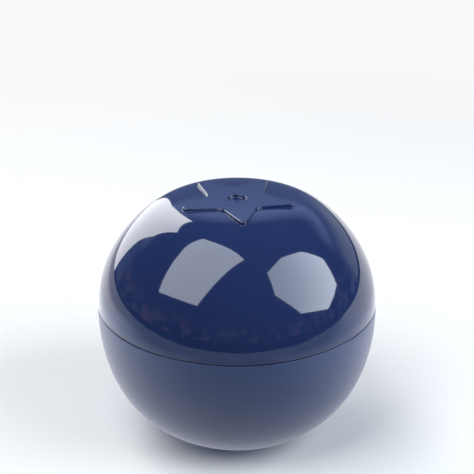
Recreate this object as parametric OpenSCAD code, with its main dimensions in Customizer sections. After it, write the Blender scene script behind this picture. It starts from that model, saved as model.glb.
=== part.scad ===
// Berry-shaped container with a twist-lock lid.
// Two mouldings and a sealing ring. Each moulded feature is a node of its own.
// Millimetres, +Z up, origin at the centre of the face it stands on, lid closed and unlocked.

/* [Body] */
// Widest diameter, at the waist
max_d = 108; // [80:1:140]
// Height of the waist above the table
waist_z = 54; // [48:1:60]
// Diameter of the foot's contact circle
foot_d = 48; // [40:1:56]
// Height of the ring under the bowl
foot_h = 0.8; // [0.5:0.1:1.5]
// Fullness of the bowl's outside, 2 is an ellipse
bowl_fullness = 2.38; // [2.1:0.01:2.8]
// Fullness of the bowl's inside
inside_fullness = 3.2; // [3:0.05:3.6]
// Thickness of the bowl's floor
floor_t = 1.7; // [1.2:0.1:3]

/* [Lid] */
// Height of the curve that the lid's sides follow, above the waist
dome_h = 48.35; // [46:0.05:50]
// Fullness of the lid's sides, 2 is an ellipse
lid_fullness = 1.85; // [1.8:0.01:2.1]
// Height above the waist that the crown stays under
crown_cap = 40.7; // [39:0.1:42]
// Sharpness of the bend from the sides to the crown
crown_bend = 16; // [10:1:24]
// Wall thickness at the crown
lid_wall = 2; // [1.5:0.1:3]
// Height of the plane between the lid's rim and its dome
rim_top_z = 64; // [63:0.5:68]

/* [Joint between lid and bowl] */
// Height of the middle of the seam
seam_z = 53.5; // [53:0.1:54]
// Gap between the bowl's shoulder and the lid's edge
seam_gap = 0.4; // [0.3:0.1:0.8]
// Outer radius of the collar on the bowl
collar_r = 50.5; // [50:0.1:51]
// Wall thickness of the collar
collar_t = 1.9; // [1.5:0.1:2.2]
// Height of the collar above the shoulder
collar_h = 6.9; // [6.5:0.1:7.2]
// Inner radius of the lid's rim
rim_bore_r = 52; // [51.9:0.1:52.2]

/* [Twist lock] */
// Number of lugs on the collar and on the lid
lug_count = 4; // [3:1:4]
// Arc of one collar lug in degrees
lug_arc = 17.5; // [12:0.5:20]
// Azimuth of the first collar lug in degrees
lug_start = 75; // [0:1:90]
// How far a collar lug stands out
lug_out = 1; // [0.8:0.1:1.1]
// Height of a collar lug
lug_h = 2.3; // [2:0.1:2.4]
// Distance from the collar's lip down to the top of its lugs
lug_drop = 0.9; // [0.8:0.1:1.2]
// Turn of the lid from locked to free in degrees
twist = 30; // [25:1:35]
// Arc of one lid lug in degrees
lid_lug_arc = 16; // [12:0.5:18]
// Running clearance between lid and bowl
play = 0.35; // [0.3:0.05:0.4]

/* [Calyx star and stem scar] */
// Number of tips
star_tips = 5; // [5:1:6]
// Radius of the tips
star_tip_r = 22; // [18:0.5:22.5]
// Radius of the notches between tips
star_notch_r = 11.8; // [9:0.1:14]
// Radius of a tip's rounding
star_round = 1.5; // [1:0.1:2]
// Height of the star's flat top above the middle of the crown
star_h = 0.7; // [0.5:0.1:1.6]
// Azimuth of the tip nearest the front in degrees
star_turn = -84; // [-120:1:-60]
// Diameter of the round dimple in the star
scar_d = 7.2; // [6:0.1:8]

/* [Hidden] */

$fn = 96;
steps = 24;         // points along each long curve
arc_steps = 4;      // points along each small rounding
edge = 0.3;         // rounding of thin edges
max_r = max_d / 2;
foot_r = foot_d / 2;
shoulder_z = seam_z - seam_gap / 2;
lid_edge_z = seam_z + seam_gap / 2;
lip_z = shoulder_z + collar_h;
collar_in = collar_r - collar_t;

// The bowl's outside is a superellipse whose bottom would lie at waist_z - bowl_depth.
bowl_depth = waist_z / pow(1 - pow(foot_r / max_r, bowl_fullness), 1 / bowl_fullness);
function bowl_r(z) = max_r * pow(1 - pow((waist_z - z) / bowl_depth, bowl_fullness), 1 / bowl_fullness);
inside_floor_z = foot_h + floor_t;

// The inside of the lid is a second curve of the same kind within the first.
inner_r = rim_bore_r + 0.45;
inner_h = dome_h - lid_wall;
crown_z = waist_z + capped(dome_h, crown_cap);
star_top_z = crown_z + star_h;

bead_z = lip_z - 0.5;          // underside of the bead that holds the seal
bead_h = 0.6;
bead_r = collar_r + play;
seal_z = lip_z + 0.4;
seal_h = 1.6;
seal_out = collar_r + 0.55;
seal_in = collar_in - 0.2;

lug_top = lip_z - lug_drop;
lug_base = lug_top - lug_h;
lid_lug_base = lid_edge_z + 0.2;
lid_lug_top = lug_base - 0.4;
stop_arc = 3;                  // arc of the stop beside each lid lug
stop_gap = 0.4;                // degrees left between the stop and a collar lug
stop_top = lug_top - 0.5;

// A quarter round of radius r about c, from angle a to a + 90.
function arc(c, r, a) = [for (i = [0 : arc_steps])
    let (t = a + 90 * i / arc_steps) [c[0] + r * cos(t), c[1] + r * sin(t)]];

// The smaller of two heights, smoothed where they are close to each other.
function capped(a, b) = b * pow(pow(b / a, crown_bend) + 1, -1 / crown_bend);

// Radius at height z of the superellipse a by h about the waist.
function lid_r(a, h, z) = a * pow(1 - pow((z - waist_z) / h, lid_fullness), 1 / lid_fullness);

// Points of the lid's wall from height z up to the axis: that superellipse, bent over to stay under a cap.
function lid_curve(a, h, cap, z) =
    let (first = asin(pow((z - waist_z) / h, lid_fullness / 2)), p = 2 / lid_fullness)
    [for (i = [0 : 2 * steps])
        let (t = first + (90 - first) * i / (2 * steps))
        [i == 2 * steps ? 0 : a * pow(cos(t), p), waist_z + capped(h * pow(sin(t), p), cap)]];

function backwards(list) = [for (i = [len(list) - 1 : -1 : 0]) list[i]];

// A part of a ring: the rectangle [r0, r1] by [z0, z1] turned through arc degrees about azimuth a.
module ring_block(r0, r1, z0, z1, a, arc) {
    rotate([0, 0, a - arc / 2])
        rotate_extrude(angle = arc)
            translate([r0, z0])
                square([r1 - r0, z1 - z0]);
}

// A flat wedge about the axis, from azimuth a0 to a1 and from z0 to z1, that reaches past the lid.
module wedge(a0, a1, z0, z1) {
    reach = 2 * max_r;
    translate([0, 0, z0])
        linear_extrude(z1 - z0)
            polygon([[0, 0], [reach * cos(a0), reach * sin(a0)], [reach * cos(a1), reach * sin(a1)]]);
}

// The bowl from the top of its foot to its shoulder, with a solid rim under the shoulder.
module bowl_shell() {
    outside = [for (i = [0 : steps])
        let (z = foot_h + (shoulder_z - edge - foot_h) * i / steps) [bowl_r(z), z]];
    inside = [for (i = [1 : steps])
        let (t = 90 * i / steps, p = 2 / inside_fullness)
        [collar_in * pow(cos(t), p), shoulder_z - (shoulder_z - inside_floor_z) * pow(sin(t), p)]];
    color("#4b5c80")
        rotate_extrude()
            polygon(concat(
                [[0, foot_h]],
                outside,
                [[bowl_r(shoulder_z) - edge, shoulder_z], [collar_in, shoulder_z]],
                [for (i = [0 : steps - 2]) inside[i]],
                [[0, inside_floor_z]]));
}

// The ring that the bowl stands on.
module foot_ring() {
    color("#4b5c80")
        rotate_extrude()
            polygon([
                [foot_r - 3.5, 0],
                [foot_r, 0],
                [bowl_r(foot_h / 2), foot_h / 2],
                [bowl_r(foot_h), foot_h],
                [foot_r - 4, foot_h]]);
}

// The upright collar that the lid slides over, with a rounded lip.
module rim_collar() {
    lip_round = collar_t / 2 - 0.15;
    color("#3d5486")
        rotate_extrude()
            polygon(concat(
                [[collar_in, shoulder_z], [collar_r, shoulder_z]],
                arc([collar_r - lip_round, lip_z - lip_round], lip_round, 0),
                arc([collar_in + lip_round, lip_z - lip_round], lip_round, 90)));
}

// Lug i on the outside of the collar.
module collar_lug(i) {
    color("#4d639a")
        ring_block(collar_r, collar_r + lug_out, lug_base, lug_top,
            lug_start + 360 * (i - 1) / lug_count, lug_arc);
}

// The soft ring between the lid and the collar's lip. It lifts with the lid and doesn't turn.
module seal_ring() {
    r = 0.5;
    color("#9fa9ba")
        rotate_extrude()
            polygon(concat(
                arc([seal_out - r, seal_z + seal_h - r], r, 0),
                arc([seal_in + r, seal_z + seal_h - r], r, 90),
                arc([seal_in + r, seal_z + r], r, 180),
                arc([seal_out - r, seal_z + r], r, 270)));
}

// The lid's upright rim, with the bead that keeps the seal in.
module lid_rim() {
    edge_z = lid_edge_z + edge;
    outside = [for (i = [0 : steps / 2])
        let (z = waist_z + (rim_top_z - waist_z) * i / (steps / 2))
        [lid_r(max_r, dome_h, z), z]];
    inside = [for (i = [0 : steps / 4])
        let (z = bead_z + bead_h + (rim_top_z - bead_z - bead_h) * i / (steps / 4))
        [lid_r(inner_r, inner_h, z), z]];
    color("#28407a")
        rotate_extrude()
            polygon(concat(
                [[rim_bore_r, lid_edge_z], [bowl_r(lid_edge_z) - edge, lid_edge_z]],
                [[bowl_r(edge_z) - 0.02, edge_z]],
                outside,
                backwards(inside),
                [[bead_r, bead_z + bead_h - 0.15], [bead_r, bead_z + 0.15], [rim_bore_r, bead_z]]));
}

// The lid above its rim: the sides follow a superellipse and bend over softly into the crown.
module lid_dome() {
    color("#28407a")
        rotate_extrude()
            polygon(concat(
                lid_curve(max_r, dome_h, crown_cap, rim_top_z),
                backwards(lid_curve(inner_r, inner_h, crown_cap - lid_wall, rim_top_z))));
}

// Lug i inside the lid's rim, with an upright stop that meets the end of a collar lug when locked.
module lid_lug(i) {
    middle = lug_start + twist + 360 * (i - 1) / lug_count;
    stop_from = middle + lug_arc / 2 + stop_gap;
    color("#28407a")
        intersection() {
            difference() {
                cylinder(r = rim_bore_r, h = max_r + rim_top_z);
                cylinder(r = bead_r, h = 3 * max_r, center = true);
            }
            union() {
                wedge(middle - lid_lug_arc / 2, stop_from + stop_arc, lid_lug_base, lid_lug_top);
                wedge(stop_from, stop_from + stop_arc, lid_lug_base, stop_top);
            }
        }
}

// The star's outline: straight sides between rounded tips and notches.
function star_outline() = [for (k = [0 : star_tips - 1])
    let (a = star_turn + 360 * k / star_tips,
        half = 180 / star_tips,
        side = [star_notch_r * cos(half) - star_tip_r, star_notch_r * sin(half)],
        lean = atan2(side[1], -side[0]),
        centre = star_tip_r - star_round)
    each concat(
        [for (j = [-2 : 2])
            let (t = j * (90 - lean) / 2)
            [centre * cos(a) + star_round * cos(a + t), centre * sin(a) + star_round * sin(a + t)]],
        [[star_notch_r * cos(a + half - 4), star_notch_r * sin(a + half - 4)],
            [star_notch_r * cos(a + half + 4), star_notch_r * sin(a + half + 4)]])];

// Everything under the lid's outside, above its rim, which the star and the scar are cut to.
module under_crown() {
    rotate_extrude()
        polygon(concat([[0, rim_top_z]], lid_curve(max_r, dome_h, crown_cap, rim_top_z)));
}

// The raised five-tipped star on the crown, flat on top, with a round hole at its middle.
module calyx_star() {
    depth = 3;
    color("#3b5290")
        difference() {
            translate([0, 0, star_top_z - depth])
                linear_extrude(depth)
                    polygon(star_outline());
            under_crown();
            translate([0, 0, crown_z - depth])
                cylinder(d = scar_d, h = 2 * depth);
        }
}

// The floor of the dimple: a low button that fills the star's hole part way.
module stem_scar() {
    color("#3b5290")
        difference() {
            rotate_extrude()
                polygon([
                    [0, crown_z - 1],
                    [scar_d / 2, crown_z - 1],
                    [scar_d / 2, crown_z + 0.1],
                    [scar_d / 3, crown_z + 0.2],
                    [scar_d / 6, crown_z + 0.25],
                    [0, crown_z + 0.27]]);
            under_crown();
        }
}

bowl_shell();
foot_ring();
rim_collar();
for (i = [1 : lug_count])
    collar_lug(i);
seal_ring();
lid_rim();
lid_dome();
for (i = [1 : lug_count])
    lid_lug(i);
calyx_star();
stem_scar();
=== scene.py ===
# %% [markdown]
# # A berry-shaped container with a twist-lock lid
# The container is moulded in two halves of navy plastic. The lid is polished like a mirror and carries a
# raised five-tipped calyx star. The bowl has a satin skin outside and is polished inside, and its upright
# collar has four lugs that lock the lid. Everything here is a surface of revolution or a close relative, so
# each piece is worked out as a grid of points with numpy, and the looks come from a few shader recipes.

# %% Load the fixed frame
import math

import bpy
import numpy as np
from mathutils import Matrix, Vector


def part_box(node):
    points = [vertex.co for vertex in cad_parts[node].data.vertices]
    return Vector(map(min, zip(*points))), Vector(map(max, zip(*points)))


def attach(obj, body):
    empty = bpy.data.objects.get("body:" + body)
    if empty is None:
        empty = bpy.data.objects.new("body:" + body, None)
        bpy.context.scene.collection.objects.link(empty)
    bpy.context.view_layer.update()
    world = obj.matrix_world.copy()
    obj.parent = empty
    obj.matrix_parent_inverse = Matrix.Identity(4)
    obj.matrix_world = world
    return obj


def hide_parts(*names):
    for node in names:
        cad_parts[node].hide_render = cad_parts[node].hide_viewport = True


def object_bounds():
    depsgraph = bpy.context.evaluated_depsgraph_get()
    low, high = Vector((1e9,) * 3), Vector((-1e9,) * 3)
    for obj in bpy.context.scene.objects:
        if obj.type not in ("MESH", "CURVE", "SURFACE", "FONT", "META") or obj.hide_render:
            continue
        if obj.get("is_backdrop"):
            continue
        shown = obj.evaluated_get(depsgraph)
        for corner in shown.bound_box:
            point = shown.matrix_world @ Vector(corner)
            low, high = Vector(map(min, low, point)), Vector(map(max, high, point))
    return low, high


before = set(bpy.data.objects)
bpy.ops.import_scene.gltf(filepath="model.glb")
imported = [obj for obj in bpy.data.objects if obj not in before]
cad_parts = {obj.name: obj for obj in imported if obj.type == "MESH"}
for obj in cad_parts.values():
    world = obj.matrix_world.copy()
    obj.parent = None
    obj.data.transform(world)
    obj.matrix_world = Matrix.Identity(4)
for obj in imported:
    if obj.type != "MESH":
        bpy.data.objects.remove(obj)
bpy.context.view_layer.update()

MM = 0.001

# %% [markdown]
# ## Sizes
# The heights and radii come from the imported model, so that a new pack moves the looks with it. Only what a
# box can't tell, such as the thickness of a wall or the softness of an edge, is given here.

# %% Sizes of the two halves
_, shell_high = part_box("bowl_shell")
_, collar_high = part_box("rim_collar")
_, foot_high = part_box("foot_ring")
rim_low, rim_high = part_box("lid_rim")
_, dome_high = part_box("lid_dome")
_, star_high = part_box("calyx_star")
seal_low, seal_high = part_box("seal_ring")

waist_z = 54 * MM                     # height of the widest circle
waist_r = rim_high.x                  # its radius
shoulder_z = shell_high.z             # flat step that the lid's edge faces
lip_z = collar_high.z                 # top of the collar
collar_r = collar_high.x              # outside of the collar
collar_wall = 1.9 * MM
collar_in = collar_r - collar_wall
foot_r = 24 * MM                      # contact circle of the foot
foot_top = foot_high.z
foot_width = 3.5 * MM
floor_z = foot_top + 1.7 * MM         # inside floor of the bowl
bowl_fullness = 2.38                  # 2 would be an ellipse
inside_fullness = 3.2
edge_z = rim_low.z                    # lower edge of the lid
bore_r = 52 * MM                      # inside of the lid's rim
clearance = 0.35 * MM                 # between the collar and what stands in the lid
dome_rise = 48.35 * MM                # height of the curve that the lid's sides follow
dome_fullness = 1.85
crown_cap = 40.7 * MM                 # height above the waist that the crown stays under
crown_bend = 16                       # sharpness of the bend from the sides to the crown
crown_z = dome_high.z
lid_wall = 2 * MM
star_z = star_high.z                  # top of the star
print(f"waist {waist_r / MM:.1f}, shoulder {shoulder_z / MM:.1f}, lip {lip_z / MM:.1f}, "
      f"crown {crown_z / MM:.1f}, star {star_z / MM:.1f} mm")

# %% [markdown]
# ## From a grid of points to a mesh
# Each shape below is a stack of rings. A ring is a row of points round the axis, and neighbouring rings are
# joined by four-sided faces. Where a ring shrinks to a point the faces become a fan of triangles, so the
# surface is closed. The signed volume tells whether the faces point outwards, and if it is negative every
# face is turned over. Blender could also spin a profile with its Screw modifier, but a grid keeps every
# point under the script's control, and the star needs that.

# %% Build a closed mesh from rings
def skin(name, rings, loop=False, masks=None):
    """A closed surface over rings, an array of (ring, point round the axis, xyz).

    loop joins the last ring to the first, as on a seal. Otherwise the first and last ring are poles, and
    each becomes one point, the mean of its ring. masks holds named values from 0 to 1, one per ring.
    """
    count, around = rings.shape[:2]
    points = rings.reshape(-1, 3)
    ids = np.arange(count * around).reshape(count, around)
    last = count if loop else count - 1
    body = np.arange(0 if loop else 1, last if loop else last - 1)
    a = ids[body % count]
    b = ids[(body + 1) % count]
    quads = np.stack([a, b, np.roll(b, -1, 1), np.roll(a, -1, 1)], -1).reshape(-1, 4)
    fans = np.empty((0, 3), int)
    if not loop:
        bottom, top = ids[0, 0], ids[-1, 0]
        points[bottom], points[top] = rings[0].mean(0), rings[-1].mean(0)
        low, high = ids[1], ids[-2]
        fans = np.concatenate([
            np.stack([np.full(around, bottom), low, np.roll(low, -1)], -1),
            np.stack([np.full(around, top), np.roll(high, -1), high], -1)])
    triangles = np.concatenate([quads[:, [0, 1, 2]], quads[:, [0, 2, 3]], fans])
    corners = points[triangles]
    volume = np.einsum("ij,ij->", corners[:, 0], np.cross(corners[:, 1], corners[:, 2])) / 6
    if volume < 0:
        quads, fans = quads[:, ::-1], fans[:, ::-1]
    used = np.unique(np.concatenate([quads.ravel(), fans.ravel()]))
    renumber = np.zeros(len(points), int)
    renumber[used] = np.arange(len(used))
    mesh = bpy.data.meshes.new(name)
    mesh.from_pydata(points[used], [], [*renumber[quads].tolist(), *renumber[fans].tolist()])
    mesh.shade_smooth()
    for mask, per_ring in (masks or {}).items():
        values = np.repeat(np.asarray(per_ring, np.float32), around)[used]
        mesh.attributes.new(mask, "FLOAT", "POINT").data.foreach_set("value", values)
    piece = bpy.data.objects.new(name, mesh)
    bpy.context.scene.collection.objects.link(piece)
    print(f"{name}: {len(triangles)} triangles, {abs(volume) / MM**3 / 1000:.1f} cm3")
    return piece


# %% Curves in the plane of radius and height
ARC_POINTS = 8                        # on a rounded edge, unless its line gives another number
SAME_POINT = 0.001 * MM               # points closer than this are one


def arc(radius, height, size, start, stop, count=ARC_POINTS):
    """Points on a circle of that size about (radius, height), from angle start to stop in degrees."""
    angle = np.radians(np.linspace(start, stop, count))
    return np.stack([radius + size * np.cos(angle), height + size * np.sin(angle)], -1)


def line(a, b, count=2):
    """Points on the straight line from a to b, both included."""
    return np.array(a) + np.linspace(0, 1, count)[:, None] * (np.array(b) - np.array(a))


def joined(*parts):
    """The parts end to end, without the points that repeat where they meet."""
    path = np.concatenate(parts)
    step = np.linalg.norm(np.diff(path, axis=0), axis=1)
    return path[np.concatenate([[True], step > SAME_POINT])]


def spun(path, azimuths):
    """Rings of a surface of revolution: each (radius, height) of the path turned to each azimuth.

    The azimuths may be one row for all rings, or a row for each.
    """
    radius, height = path[:, :1], path[:, 1:]
    return np.stack([radius * np.cos(azimuths), radius * np.sin(azimuths),
                     height + 0 * azimuths], -1)


# %% [markdown]
# ## The bowl
# The outside is a superellipse, a little fuller than an ellipse, cut off flat at the foot. The inside is a
# fuller one that starts straight down from the collar, as it has to on the real bowl, or the moulded part
# couldn't leave its core. Between them lie the flat shoulder, the thin collar with its round lip and a foot
# ring with a shallow recess. One path goes round all of it, from the middle of the underside to the middle
# of the floor, and is spun about the axis. Two masks go with it: satin up to the shoulder's outer edge, where
# the mould is textured, and one on the collar, inside and out, where a brighter blue is painted on as a
# painted glow of light shining through the thin wall. Below the collar the inside is neither.

# %% The bowl's path and mesh
def superellipse(radius, depth, top, fullness, start, stop, count):
    """Radius times cos(t) to the power 2/fullness, and top minus depth times sin(t) to the same power."""
    t = np.radians(np.linspace(start, stop, count))
    power = 2 / fullness
    return np.stack([radius * np.cos(t).clip(0) ** power, top - depth * np.sin(t).clip(0) ** power], -1)


def superellipse_angle(share, fullness):
    """The t at which sin(t) to the power 2/fullness is that share, in degrees."""
    return math.degrees(math.asin(share ** (fullness / 2)))


bowl_depth = waist_z / (1 - (foot_r / waist_r) ** bowl_fullness) ** (1 / bowl_fullness)
soft = 0.25 * MM                      # rounding of the shoulder's outer edge and the foot
root = 0.2 * MM                       # fillet where the collar meets the shoulder
lip = 0.8 * MM                        # rounding of the collar's lip
# A painted glow, light painted as shining through the thin collar, fades in over this height.
painted_glow_rise = 2 * MM                        # the thin wall turns bluer over this height above the shoulder
at_shoulder = superellipse_angle((waist_z - shoulder_z + soft) / bowl_depth, bowl_fullness)
at_foot = superellipse_angle((waist_z - soft) / bowl_depth, bowl_fullness)
outside = superellipse(waist_r, bowl_depth, waist_z, bowl_fullness, at_foot, at_shoulder, 90)
inside = superellipse(collar_in, shoulder_z - floor_z, shoulder_z, inside_fullness, 0, 90, 90)

underside = joined(
    line((0, foot_top), (foot_r - foot_width - 2 * soft, foot_top), 24),
    arc(foot_r - foot_width - 2 * soft, foot_top - soft, soft, 90, 0, 6),
    arc(foot_r - foot_width, soft, soft, 180, 270, 6),
    line((foot_r - foot_width, 0), (foot_r - soft, 0), 6))
shoulder = joined(
    arc(outside[-1, 0] - soft, shoulder_z - soft, soft, 0, 90),
    line((outside[-1, 0] - soft, shoulder_z), (collar_r + root, shoulder_z), 6),
    arc(collar_r + root, shoulder_z + root, root, 270, 180),
    line((collar_r, shoulder_z + root), (collar_r, lip_z - lip), 8),
    arc(collar_r - lip, lip_z - lip, lip, 0, 90),
    arc(collar_in + lip, lip_z - lip, lip, 90, 180),
    line((collar_in, lip_z - lip), (collar_in, shoulder_z), 8))
bowl_path = joined(underside, outside, shoulder, inside)

azimuths = np.linspace(0, 2 * np.pi, 360, endpoint=False)
textured_points = len(underside) + len(outside) + ARC_POINTS - 2
textured = np.arange(len(bowl_path)) < textured_points
# Painted glow mask: on the collar the colour is painted brighter and bluer, as light shining through the
# wall.
thin = np.clip((bowl_path[:, 1] - shoulder_z) / painted_glow_rise, 0, 1)
bowl = skin("bowl", spun(bowl_path, azimuths), masks={"satin": textured, "thin": thin})

# %% [markdown]
# ## The lid
# The lid's sides follow a superellipse that bends over softly into the crown. The star is flat on top, so it
# stands less than a millimetre proud beside the dimple and more at its tips. Its side is upright, with a
# rounded top edge and a small fillet at its foot that both catch the light, so a bump map wouldn't do. The
# star's outline is made of arcs and straight lines, and its sideways direction is known at every point, so
# moving each point along that direction gives a true offset. The lid's rings are circles round the dimple,
# then blend into offsets of the star's outline across its edge, and blend back into circles down the dome.

# %% The star's outline
star_tip = 22 * MM
star_notch = 11.8 * MM
tip_round = 1.5 * MM
notch_round = 4 * MM
star_turn = math.radians(-84)
TIPS = 5


def star_outline(per_arc=12, per_side=12):
    """The outline as (point, unit sideways direction), both arrays of xy.

    Half an arm lies between the tip's axis, at angle 0, and the notch's, at pi / 5. A small circle rounds
    the tip from inside and another rounds the notch from outside, and the side is the line that touches
    both. The direction turns through the tip's arc, stays along the side and turns back through the notch's.
    """
    half = math.pi / TIPS
    tip = np.array([star_tip - tip_round, 0])
    notch = (star_notch + notch_round) * np.array([math.cos(half), math.sin(half)])
    gap = notch - tip
    lean = math.atan2(gap[1], gap[0]) - math.acos((tip_round + notch_round) / np.hypot(*gap))
    turn = np.concatenate([np.linspace(0, lean, per_arc), np.full(per_side, lean),
                           np.linspace(lean, half, per_arc)])
    sideways = np.stack([np.cos(turn), np.sin(turn)], -1)
    along = np.clip((np.arange(len(turn)) - per_arc + 1) / (per_side + 1), 0, 1)[:, None]
    from_tip = tip + tip_round * sideways
    from_notch = notch - notch_round * sideways
    point = from_tip * (1 - along) + from_notch * along
    flip = np.array([1, -1])
    arm = np.concatenate([(point * flip)[:0:-1], point[:-1]])
    arm_sideways = np.concatenate([(sideways * flip)[:0:-1], sideways[:-1]])
    turns = star_turn + 2 * math.pi * np.arange(TIPS) / TIPS
    spin = np.array([[np.cos(turns), -np.sin(turns)], [np.sin(turns), np.cos(turns)]])
    return (np.einsum("ijk,nj->kni", spin, arm).reshape(-1, 2),
            np.einsum("ijk,nj->kni", spin, arm_sideways).reshape(-1, 2))


outline, sideways = star_outline()
star_azimuths = np.unwrap(np.arctan2(outline[:, 1], outline[:, 0]))
print("star outline:", len(outline), "points")


# %% The lid's rings
def capped(height, cap):
    """The smaller of two heights, smoothed: 1 / height^n and 1 / cap^n are added for a large power n.

    A height of nothing counts as a thousandth of a millimetre, or it couldn't be divided by.
    """
    return cap * ((cap / np.maximum(height, 0.001 * MM)) ** crown_bend + 1) ** (-1 / crown_bend)


def dome(radius, rise, cap, start, stop, count):
    """A superellipse of that radius and rise about the waist, bent over to stay under cap.

    start and stop are its angle in degrees, 0 at the waist and 90 on the axis.
    """
    t = np.radians(np.linspace(start, stop, count))
    power = 2 / dome_fullness
    return np.stack([radius * np.cos(t).clip(0) ** power,
                     waist_z + capped(rise * np.sin(t) ** power, cap)], -1)


def crown_height(xy):
    """Height of the lid's outside at points xy, by the same formula."""
    out = np.hypot(*xy.T) / waist_r
    return waist_z + capped(dome_rise * (1 - out ** dome_fullness) ** (1 / dome_fullness), crown_cap)


def level_ring(xy, height):
    """A ring over points xy, at one height or at one height each."""
    return np.column_stack([xy, np.full(len(xy), height)])


around = np.stack([np.cos(star_azimuths), np.sin(star_azimuths)], -1)
dimple_r = 3.6 * MM
dimple_soft = 0.3 * MM
dimple_z = crown_z - 0.3 * MM
nub_r, nub_rise = 0.5 * MM, 0.25 * MM         # low nub in the middle of the dimple
slope_r, slope_rise = 1.2 * MM, 0.08 * MM     # where its side runs out into the dimple's floor
dimple = joined(
    line((0, dimple_z + nub_rise), (nub_r, dimple_z + 0.96 * nub_rise), 3),
    line((slope_r, dimple_z + slope_rise), (dimple_r - dimple_soft, dimple_z), 6),
    arc(dimple_r - dimple_soft, dimple_z + dimple_soft, dimple_soft, 270, 360, 6),
    arc(dimple_r + dimple_soft, star_z - dimple_soft, dimple_soft, 180, 90, 7))
dimple_rings = [level_ring(r * around, z) for r, z in dimple]

top_soft = 0.6 * MM                   # rounding of the star's top edge
star_wall = 0.45 * MM                 # upright part of the star's side, before it is fitted to the dome
foot_soft = 0.15 * MM                 # fillet at the star's foot
side = joined(
    arc(-top_soft, top_soft, top_soft, -90, 0, 9),
    line((0, top_soft), (0, top_soft + star_wall), 4),
    arc(foot_soft, top_soft + star_wall, foot_soft, 180, 90, 6))

# Rings crowd together beside a rounding, so that its shading doesn't spread over a wide face.
plateau_shares = np.array([0.01, 0.04, 0.1, 0.25, 0.5, 0.75, 0.9, 0.96, 0.99, 1])
crown_shares = np.array([0.01, 0.03, 0.08, 0.2, 0.4, 0.6, 0.8, 1])
plateau_start = dimple[-1, 0] * around
plateau_stop = outline - top_soft * sideways
plateau_rings = [level_ring(plateau_start * (1 - share) + plateau_stop * share, star_z)
                 for share in plateau_shares]
edge_rings = []
for outward, depth in side[1:]:
    xy = outline + outward * sideways
    share = depth / side[-1, 1]
    edge_rings.append(level_ring(xy, star_z * (1 - share) + crown_height(xy) * share))

crown_edge = 24.6 * MM                # the rings are circles again from here outwards
crown_start = outline + foot_soft * sideways
crown_rings = []
for share in crown_shares:
    xy = crown_start * (1 - share) + crown_edge * around * share
    crown_rings.append(level_ring(xy, crown_height(xy)))

crown_angle = math.degrees(math.acos((crown_edge / waist_r) ** (dome_fullness / 2)))
sides = dome(waist_r, dome_rise, crown_cap, crown_angle, 0, 90)

rim_soft = 0.2 * MM                   # rounding of the lid's lower edge
inner_r = bore_r + 0.45 * MM          # inside of the dome, carried down to the waist
inner_rise = dome_rise - lid_wall
bead_top = lip_z + 0.1 * MM           # the bead runs round above the bore and holds the seal in
bead_in = collar_r + clearance
bead_soft = 0.3 * MM
bead_angle = math.degrees(math.asin(((bead_top - waist_z) / inner_rise) ** (dome_fullness / 2)))
wall_path = joined(
    sides,
    line((waist_r, waist_z), (waist_r, edge_z + rim_soft), 3),
    arc(waist_r - rim_soft, edge_z + rim_soft, rim_soft, 0, -90, 6),
    line((waist_r - rim_soft, edge_z), (bore_r + rim_soft, edge_z), 4),
    arc(bore_r + rim_soft, edge_z + rim_soft, rim_soft, 270, 180, 6),
    line((bore_r, edge_z + rim_soft), (bore_r, bead_top - 3 * bead_soft), 8),
    arc(bead_in + bead_soft, bead_top - bead_soft, bead_soft, 270, 90, 7),
    dome(inner_r, inner_rise, crown_cap - lid_wall, bead_angle, 90, 80))

# The points of a ring are crowded at the star's tips and notches. Over the next rings down the dome they
# spread out evenly, and from the waist on, round the edge and up the inside, they stay so.
spread = 12 * MM
wall_path = wall_path[1:]
even = star_azimuths[0] + np.linspace(0, 2 * np.pi, len(star_azimuths), endpoint=False)
evenness = np.clip((wall_path[:, :1] - crown_edge) / spread, 0, 1)
evenness[np.argmax(wall_path[:, 0]):] = 1
wall_rings = spun(wall_path, star_azimuths * (1 - evenness) + even * evenness)
lid_rings = np.concatenate([dimple_rings, plateau_rings, edge_rings, crown_rings, wall_rings])
lid = skin("lid", lid_rings)

# %% [markdown]
# ## Seal and lugs
# The seal is a soft ring with a rounded section. The lugs are small blocks with soft corners, bent round the
# collar: a superquadric, which is a sphere whose sines and cosines are raised to a small power, so that it
# swells into a rounded box. One side of it lies inside the wall it is moulded to. The lugs in the lid end in
# a stop, a step up that a collar lug runs against when the lid is locked.

# %% The seal
seal_soft = 0.55 * MM
seal_out = seal_high.x
seal_in = collar_in - 0.2 * MM        # it covers the collar's lip and a little more
seal_path = joined(
    arc(seal_out - seal_soft, seal_high.z - seal_soft, seal_soft, 0, 90),
    arc(seal_in + seal_soft, seal_high.z - seal_soft, seal_soft, 90, 180),
    arc(seal_in + seal_soft, seal_low.z + seal_soft, seal_soft, 180, 270),
    arc(seal_out - seal_soft, seal_low.z + seal_soft, seal_soft, 270, 360))
seal = skin("seal", spun(seal_path, azimuths), loop=True)


# %% Lugs on the collar and in the lid
def signed_power(value, power):
    """The value's size raised to that power, with its sign kept."""
    return np.sign(value) * np.abs(value) ** power


STEP_SOFT = 0.4                       # degrees over which the step to a stop is softened
LUG_RINGS, LUG_POINTS = 81, 48        # from end to end, and round the section


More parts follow.
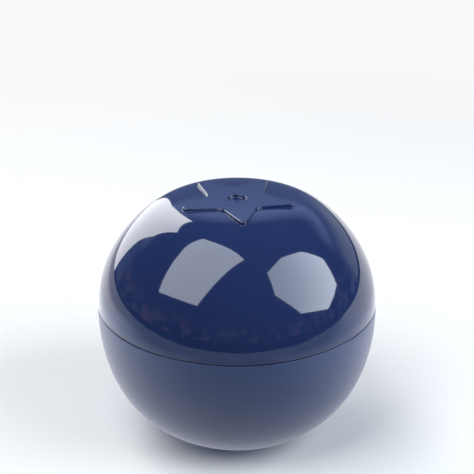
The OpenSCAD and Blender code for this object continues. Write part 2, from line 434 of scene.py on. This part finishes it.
def lug(name, radii, heights, azimuths, step_from=None, step_top=None, power=0.22):
    """A superquadric block bent about the axis.

    u runs from end to end and v round the section. The azimuth follows sin(u), and the radius and height
    follow cos(u) times cos(v) and sin(v), each raised to a small power. Past the azimuth step_from the top
    rises to step_top.
    """
    end = np.pi / 2
    u = end * np.sin(np.linspace(-end, end, LUG_RINGS))[:, None]
    v = np.linspace(0, 2 * np.pi, LUG_POINTS, endpoint=False)[None]
    turn = np.mean(azimuths) + np.ptp(azimuths) / 2 * signed_power(np.sin(u), power) + 0 * v
    low, high = heights[0], np.full_like(turn, heights[1])
    if step_from is not None:
        step = np.clip((turn - step_from) / STEP_SOFT + 0.5, 0, 1)
        high += (step_top - high) * step * step * (3 - 2 * step)
    swell = signed_power(np.cos(u).clip(0), power)
    radius = np.mean(radii) + np.ptp(radii) / 2 * swell * signed_power(np.cos(v), power)
    height = (low + high) / 2 + (high - low) / 2 * swell * signed_power(np.sin(v), power)
    turn = np.radians(turn)
    rings = np.stack([radius * np.cos(turn), radius * np.sin(turn), height], -1)
    # Every lug gets the full painted glow mask, so the collar lugs are painted as bright as the lit-through
    # collar.
    return skin(name, rings, masks={"satin": np.zeros(len(rings)), "thin": np.ones(len(rings))})


LUGS = 4
FIRST_LUG = 75                        # azimuth of the collar's first lug; all these angles are in degrees
LUG_ARC = 17.5
TWIST = 30                            # from locked to free, which is how the lid rests here
LID_LUG_ARC = 16
STOP_GAP, STOP_ARC = 0.4, 3           # from a locked collar lug to the stop, and the stop itself
lug_reach = 1 * MM                    # how far a collar lug stands out
lug_depth = 0.5 * MM                  # how deep a lug is sunk into its wall
lug_play = 0.4 * MM                   # between a collar lug and the lid lug under it
collar_lugs, lid_lugs = [], []
for i in range(LUGS):
    low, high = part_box(f"collar_lug_{i + 1}")
    middle = FIRST_LUG + 360 / LUGS * i
    collar_lugs.append(lug(f"collar_lug_{i + 1}_moulded", (collar_r - lug_depth, collar_r + lug_reach),
                           (low.z, high.z), (middle - LUG_ARC / 2, middle + LUG_ARC / 2)))
    lug_foot = low.z
    low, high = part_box(f"lid_lug_{i + 1}")
    middle += TWIST
    stop = middle + LUG_ARC / 2 + STOP_GAP
    lid_lugs.append(lug(f"lid_lug_{i + 1}_moulded", (collar_r + clearance, bore_r + lug_depth),
                        (low.z, lug_foot - lug_play), (middle - LID_LUG_ARC / 2, stop + STOP_ARC),
                        stop, high.z))

# %% [markdown]
# ## Materials
# A small class wraps a shader socket, so that sums and products of patterns can be written as Python
# expressions, and a recipe class makes any other node. All patterns read Object coordinates, in metres, or
# the masks stored on the mesh.

# %% Shader helpers
class Wire:
    """A shader socket that can be added, subtracted and multiplied."""

    def __init__(self, recipe, socket):
        self.recipe, self.socket = recipe, socket

    def _math(self, operation, a, b):
        return self.recipe.node("ShaderNodeMath", {"operation": operation}, {0: a, 1: b})[0]

    def __add__(self, other):
        return self._math("ADD", self, other)

    def __radd__(self, other):
        return self._math("ADD", other, self)

    def __sub__(self, other):
        return self._math("SUBTRACT", self, other)

    def __rsub__(self, other):
        return self._math("SUBTRACT", other, self)

    def __mul__(self, other):
        return self._math("MULTIPLY", self, other)

    def __rmul__(self, other):
        return self._math("MULTIPLY", other, self)


class Recipe:
    """A node tree, and one method that makes any node in it."""

    def __init__(self, owner):
        owner.use_nodes = True
        self.tree = owner.node_tree
        self.tree.nodes.clear()

    def node(self, kind, settings=None, inputs=None):
        """Makes a node and sets its settings, then its inputs by name or number. Returns its outputs."""
        made = self.tree.nodes.new(kind)
        for name, value in (settings or {}).items():
            setattr(made, name, value)
        for key, value in (inputs or {}).items():
            if isinstance(value, Wire):
                self.tree.links.new(value.socket, made.inputs[key])
            else:
                made.inputs[key].default_value = value
        return [Wire(self, s) for s in made.outputs]

    def noise(self, where, scale, detail=2.0):
        """Blender's noise, about 0.5 on average."""
        return self.node("ShaderNodeTexNoise", {}, {"Vector": where, "Scale": scale, "Detail": detail})[0]

    def between(self, low, high, mask):
        """The colour low where the mask is 0 and high where it is 1."""
        return self.node("ShaderNodeMix", {"data_type": "RGBA"}, {0: mask, 6: low, 7: high})[2]

    def bump(self, height, strength, distance):
        """A normal tilted by a pattern of heights, where 1 stands for that distance."""
        return self.node("ShaderNodeBump", {},
                         {"Strength": strength, "Distance": distance, "Height": height})[0]

    def ramp(self, value, low, high):
        """The value taken from the range low to high onto 0 to 1, eased at both ends."""
        return self.node("ShaderNodeMapRange", {"interpolation_type": "SMOOTHSTEP"},
                         {"Value": value, "From Min": low, "From Max": high})[0]


def plastic(name, build, **constants):
    """A material with one Principled shader. build adds what varies and returns those inputs."""
    material = bpy.data.materials.new(name)
    recipe = Recipe(material)
    where = recipe.node("ShaderNodeTexCoord")[3]
    shader = recipe.node("ShaderNodeBsdfPrincipled", {}, {**constants, **build(recipe, where)})[0]
    recipe.node("ShaderNodeOutputMaterial", {}, {"Surface": shader})
    return material


# %% The finishes
# The navy plastic: polished, the same with more pigment, inside the bowl, a brighter blue painted on the thin
# collar as painted light shining through it, and satin. Then the rubber, with less and more dust on it.
NAVY = (0.0135, 0.0242, 0.080, 1)
NAVY_DEEP = (0.0112, 0.0202, 0.067, 1)
NAVY_INSIDE = (0.0190, 0.0330, 0.112, 1)
# Painted glow: light shining through the thin collar, painted into its base colour.
NAVY_THIN_PAINTED_GLOW = (0.020, 0.058, 0.160, 1)
NAVY_SATIN = (0.0205, 0.0415, 0.116, 1)
DUSTY = (0.13, 0.16, 0.22, 1)
DUSTIER = (0.18, 0.21, 0.28, 1)

# Scales of the patterns, in cells to the metre.
DRIFT = 22.0                          # slow drifts in the pigment
WAVE = 55.0                           # waviness of a polished wall
HAZE = 260.0                          # haze on the polish
DUST = 700.0                          # dust on the rubber
GRAIN = 3200.0                        # grain of a satin mould


def polished(recipe, where):
    """Mirror-polished mould: clear reflections with a faint waviness, and slow drifts in the pigment."""
    drift = recipe.noise(where, DRIFT)
    haze = recipe.noise(where, HAZE)
    wave = recipe.noise(where, WAVE, 0.0)
    bump = recipe.bump(wave, 0.35, 0.06 * MM)
    return {"Base Color": recipe.between(NAVY_DEEP, NAVY, drift),
            "Roughness": 0.035 + 0.03 * haze, "Normal": bump}


def moulded(recipe, where):
    """The bowl's one material: satin where the mould is textured, polished elsewhere, painted glow where
    thin.
    """
    satin = recipe.node("ShaderNodeAttribute", {"attribute_name": "satin"})[2]
    thin = recipe.node("ShaderNodeAttribute", {"attribute_name": "thin"})[2]
    drift = recipe.noise(where, DRIFT)
    grain = recipe.noise(where, GRAIN)
    wave = recipe.noise(where, WAVE, 0.0)
    # Where thin, the colour is painted brighter and bluer: painted light shining through the collar's wall.
    polished_colour_with_glow = recipe.between(recipe.between(NAVY, NAVY_INSIDE, drift), NAVY_THIN_PAINTED_GLOW, thin)
    height = wave * (1 - satin) + 0.25 * grain * satin
    bump = recipe.bump(height, 0.4, 0.06 * MM)
    return {"Base Color": recipe.between(polished_colour_with_glow, NAVY_SATIN, satin),
            "Roughness": (0.05 + 0.03 * drift) * (1 - satin) + (0.36 + 0.06 * drift) * satin,
            "Normal": bump}


def rubber(recipe, where):
    """Soft, dusty sealing ring."""
    dust = recipe.noise(where, DUST)
    bump = recipe.bump(dust, 0.4, 0.05 * MM)
    return {"Base Color": recipe.between(DUSTY, DUSTIER, dust),
            "Roughness": 0.5 + 0.15 * dust, "Normal": bump}


lid_finish = plastic("navy_polished", polished, IOR=1.56)
bowl_finish = plastic("navy_bowl", moulded, IOR=1.56)
seal_finish = plastic("seal_rubber", rubber, IOR=1.45)

# %% Each piece rides on its body and stands for its CAD nodes
def settle(piece, body, slot, finish, *nodes):
    """Gives a piece its finish, its body and the CAD nodes that it stands for. Its slot is not used."""
    piece.data.materials.clear()
    piece.data.materials.append(finish)
    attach(piece, body)
    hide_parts(*nodes)


settle(bowl, "bowl", "bowl_satin", bowl_finish, "bowl_shell", "foot_ring", "rim_collar")
settle(seal, "seal", "seal_rubber", seal_finish, "seal_ring")
settle(lid, "lid", "lid_gloss", lid_finish, "lid_rim", "lid_dome", "calyx_star", "stem_scar")
for i in range(LUGS):
    settle(collar_lugs[i], "bowl", "bowl_gloss", bowl_finish, f"collar_lug_{i + 1}")
    settle(lid_lugs[i], "lid", "lid_gloss", lid_finish, f"lid_lug_{i + 1}")

# %% [markdown]
# ## The studio
# Polished plastic shows little but what it reflects, so the studio matters as much as the material: a pale
# table of limited size, a pale backdrop behind it, and a dark room around with three soft lights in it, one
# nearly rectangular, one eight-sided, and a large one low behind the object. The lights are flat shapes that
# glow. They are placed by the direction in which they stand from the lid, and the camera doesn't see them
# itself. Light from the front left and the front right makes the two clear reflections on the lid.

# %% Lights
aim = Vector((0, 0, 76 * MM))         # the lights face this point, high in the lid


def direction(azimuth, elevation):
    """The unit vector to that azimuth, from +X towards +Y, and elevation, in degrees."""
    a, e = math.radians(azimuth), math.radians(elevation)
    return np.array([math.cos(a) * math.cos(e), math.sin(a) * math.cos(e), math.sin(e)])


def glowing(name, colour, strength, dim, centre, towards):
    """An emitting material that goes from dim times its strength on one side to all of it on the other.

    towards is the vector from the centre to the side that has the full strength.
    """
    material = bpy.data.materials.new(name)
    recipe = Recipe(material)
    where = recipe.node("ShaderNodeNewGeometry")[0]
    offset = recipe.node("ShaderNodeVectorMath", {"operation": "SUBTRACT"}, {0: where, 1: centre})[0]
    along = towards / np.dot(towards, towards)
    share = recipe.node("ShaderNodeVectorMath", {"operation": "DOT_PRODUCT"}, {0: offset, 1: along})[1]
    level = strength * (dim + (1 - dim) * recipe.ramp(share, -1, 1))
    light = recipe.node("ShaderNodeEmission", {}, {"Color": colour, "Strength": level})[0]
    recipe.node("ShaderNodeOutputMaterial", {}, {"Surface": light})
    return material


def softbox(name, azimuth, elevation, distance, corners, colour, strength, dim, brighter):
    """A flat panel facing the aim from that direction and distance.

    Its corners are given in its own plane as (right, up) in metres, as seen with one's back to the object.
    So is brighter, the way from its middle to its brighter side.
    """
    outward = direction(azimuth, elevation)
    right = np.cross((0, 0, 1), outward) / math.cos(math.radians(elevation))
    upward = np.cross(outward, right)
    corners = np.array(corners)
    centre = np.array(aim) + distance * outward
    points = centre + corners[:, :1] * right + corners[:, 1:] * upward
    towards = brighter[0] * right + brighter[1] * upward
    mesh = bpy.data.meshes.new(name)
    mesh.from_pydata(points, [], [tuple(range(len(points)))])
    mesh.materials.append(glowing(name, colour, strength, dim, centre, towards))
    light = bpy.data.objects.new(name, mesh)
    bpy.context.scene.collection.objects.link(light)
    light.visible_camera = False
    light.visible_shadow = False
    light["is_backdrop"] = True


softbox("key_left", -145, 50, 0.8,
        [(-0.42, 0.565), (0.31, 0.53), (0.27, -0.305), (-0.265, -0.385), (-0.295, 0.07)],
        colour=(0.9, 0.96, 1.03, 1), strength=5.4, dim=0.9, brighter=(-0.2, 0.4))
softbox("key_right", -20, 33, 0.8,
        [(0.26, 0.24), (0.42, 0.02), (0.38, -0.25), (0.11, -0.39),
         (-0.25, -0.25), (-0.40, 0.11), (-0.27, 0.37), (0.02, 0.36)],
        colour=(0.87, 0.95, 1.04, 1), strength=8.0, dim=0.56, brighter=(0.32, -0.18))
softbox("fill_back", 118, 20, 1.1,
        [(-0.265, -0.47), (0.50, -0.47), (0.44, 0.0), (0.47, 0.26), (0.26, 0.64), (-0.27, 0.37)],
        colour=(0.98, 0.99, 1.0, 1), strength=6.0, dim=0.62, brighter=(0.0, 0.5))

# %% Table and room
PALE = (0.68, 0.665, 0.64, 1)         # the sheet as the camera sees it
BACKGROUND = (0.94, 0.943, 0.95, 1)
TABLE = (0.97, 0.975, 1.0, 1)         # the rest show in reflections only
TABLE_BLUE = (0.94, 1.10, 1.46, 1)
DARK_FLOOR = (0.02, 0.024, 0.035, 1)
ROOM = (0.010, 0.013, 0.022, 1)
COOL = (0.22, 0.25, 0.34, 1)
WARM = (0.34, 0.22, 0.21, 1)
BACKDROP = (0.17, 0.22, 0.36, 1)
BACKDROP_RIGHT = (0.50, 0.56, 0.64, 1)
BACKDROP_LIT = (0.5, 0.66, 1.05, 1)


def floor_material():
    """A pale sheet whose share of the reflections is worked out apart from what the camera sees.

    In reflections it is a table, an ellipse beyond which the room is dark, with an edge made uneven by the
    things that stand there. It glows as a sheet lit from all sides does, more beside and behind the object
    than in front of it and most on the left, but less far out on the left. In front and beside, away from
    the object, it is bluer. What the camera sees is a plain sheet that takes the object's shadow and fades
    into the background. The ramps run between distances in metres, or between squares of them.
    """
    material = bpy.data.materials.new("pale_table")
    recipe = Recipe(material)
    where = recipe.node("ShaderNodeNewGeometry")[0]
    x, y, _ = recipe.node("ShaderNodeSeparateXYZ", {}, {0: where})
    square = x * x + y * y
    across = (x + 0.1) * (1 / 1.2)
    along = (y - 0.58) * (1 / 0.9)
    standing_things = 0.5 * recipe.noise(where, 5.0, 4.0)
    outside_table = recipe.ramp(across * across + along * along + standing_things, 1.22, 1.26)
    behind = recipe.ramp(y, -0.14, 0.06)
    near = 1 - recipe.ramp(square, 0, 0.12 ** 2)
    left = recipe.ramp(0 - x, -0.1, 0.2)
    far_left = recipe.ramp(0 - x, 0.25, 0.45)
    beside = recipe.ramp(x * x, 0.05 ** 2, 0.1 ** 2) * (1 - recipe.ramp(square, 0.02, 0.05))
    under_left = near * recipe.ramp(0 - x, 0, 0.06)
    level = (0.55 + 0.16 * near * (1 - behind) + 0.3 * under_left + 0.33 * beside
             + behind * (0.83 + 0.35 * left - 0.88 * far_left))
    blue = recipe.ramp(square, 0.11 ** 2, 0.19 ** 2) * (1 - recipe.ramp(y, -0.1, 0.17))
    table = recipe.between(TABLE, TABLE_BLUE, blue)
    tone = recipe.between(table, DARK_FLOOR, outside_table)
    glow = recipe.node("ShaderNodeEmission", {}, {"Color": tone, "Strength": level})[0]
    sheet = recipe.node("ShaderNodeBsdfDiffuse", {}, {"Color": PALE})[0]
    far = recipe.node("ShaderNodeEmission", {}, {"Color": BACKGROUND})[0]
    away = recipe.ramp(square, 0.1 ** 2, 0.5 ** 2)
    visible = recipe.node("ShaderNodeMixShader", {}, {0: away, 1: sheet, 2: far})[0]
    camera_ray = recipe.node("ShaderNodeLightPath")[0]
    mixed = recipe.node("ShaderNodeMixShader", {}, {0: camera_ray, 1: glow, 2: visible})[0]
    recipe.node("ShaderNodeOutputMaterial", {}, {"Surface": mixed})
    return material


floor_mesh = bpy.data.meshes.new("floor")
reach = 6.0
floor_mesh.from_pydata([(-reach, -reach, 0), (reach, -reach, 0), (reach, reach, 0), (-reach, reach, 0)],
                       [], [(0, 1, 2, 3)])
floor_mesh.materials.append(floor_material())
floor = bpy.data.objects.new("floor", floor_mesh)
bpy.context.scene.collection.objects.link(floor)
floor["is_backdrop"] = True

# The room is drawn by direction: a backdrop low in the north, lit along its top, and dim things elsewhere.
world = bpy.data.worlds.new("room")
bpy.context.scene.world = world
room = Recipe(world)
heading = room.node("ShaderNodeTexCoord")[0]
east, north, up = room.node("ShaderNodeSeparateXYZ", {}, {0: heading})
behind = room.ramp(north, 0.4, 0.6)
sheet_foot = behind * (1 - room.ramp(up, 0.40, 0.62))
sheet_lit = sheet_foot * room.ramp(up, 0.34, 0.44)
low_down = 1 - room.ramp(up, 0.05, 0.4)
warm_things = room.ramp(room.noise(heading, 5.0, 6.0), 0.48, 0.62) * low_down
cool_things = room.ramp(room.noise(heading, 9.0, 5.0), 0.50, 0.66) * low_down
dark_room = room.between(room.between(ROOM, COOL, cool_things), WARM, warm_things)
sheet_right = sheet_foot * room.ramp(east, 0.12, 0.5) * (1 - room.ramp(up, 0.14, 0.34))
sheet_tone = room.between(BACKDROP, BACKDROP_RIGHT, sheet_right)
mirror_view = room.between(room.between(dark_room, sheet_tone, sheet_foot), BACKDROP_LIT, sheet_lit)
camera_ray = room.node("ShaderNodeLightPath")[0]
seen = room.between(mirror_view, BACKGROUND, camera_ray)
glow = room.node("ShaderNodeBackground", {}, {"Color": seen, "Strength": 1.0})[0]
room.node("ShaderNodeOutputWorld", {}, {"Surface": glow})

# %% [markdown]
# ## Camera
# The container is seen from 27 degrees above the table, from ten times its radius away, through a long lens.
# It stands low in the picture, because the lid lifts off it by 60 mm.

# %% Camera
camera = bpy.data.objects.new("camera", bpy.data.cameras.new("camera"))
bpy.context.scene.collection.objects.link(camera)
bpy.context.scene.camera = camera
camera.data.lens = 105
camera.data.sensor_width = 36
camera.data.clip_start = 0.01
camera_elevation = math.radians(27.2)
camera_distance = 10 * waist_r
rise_of_aim = math.radians(2.7)       # it looks this much above the middle, to leave room for the lid
middle = Vector((0, 0, 0.95 * waist_r))
back = Vector((0, -math.cos(camera_elevation), math.sin(camera_elevation)))
camera.location = middle + camera_distance * back
camera.rotation_euler = (math.pi / 2 - camera_elevation + rise_of_aim, 0, 0)
bpy.context.scene.view_settings.view_transform = "Standard"

# %% Sizes, and the end
low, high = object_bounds()
print("visual box, mm:", [round(c / MM, 1) for c in (*low, *high)])
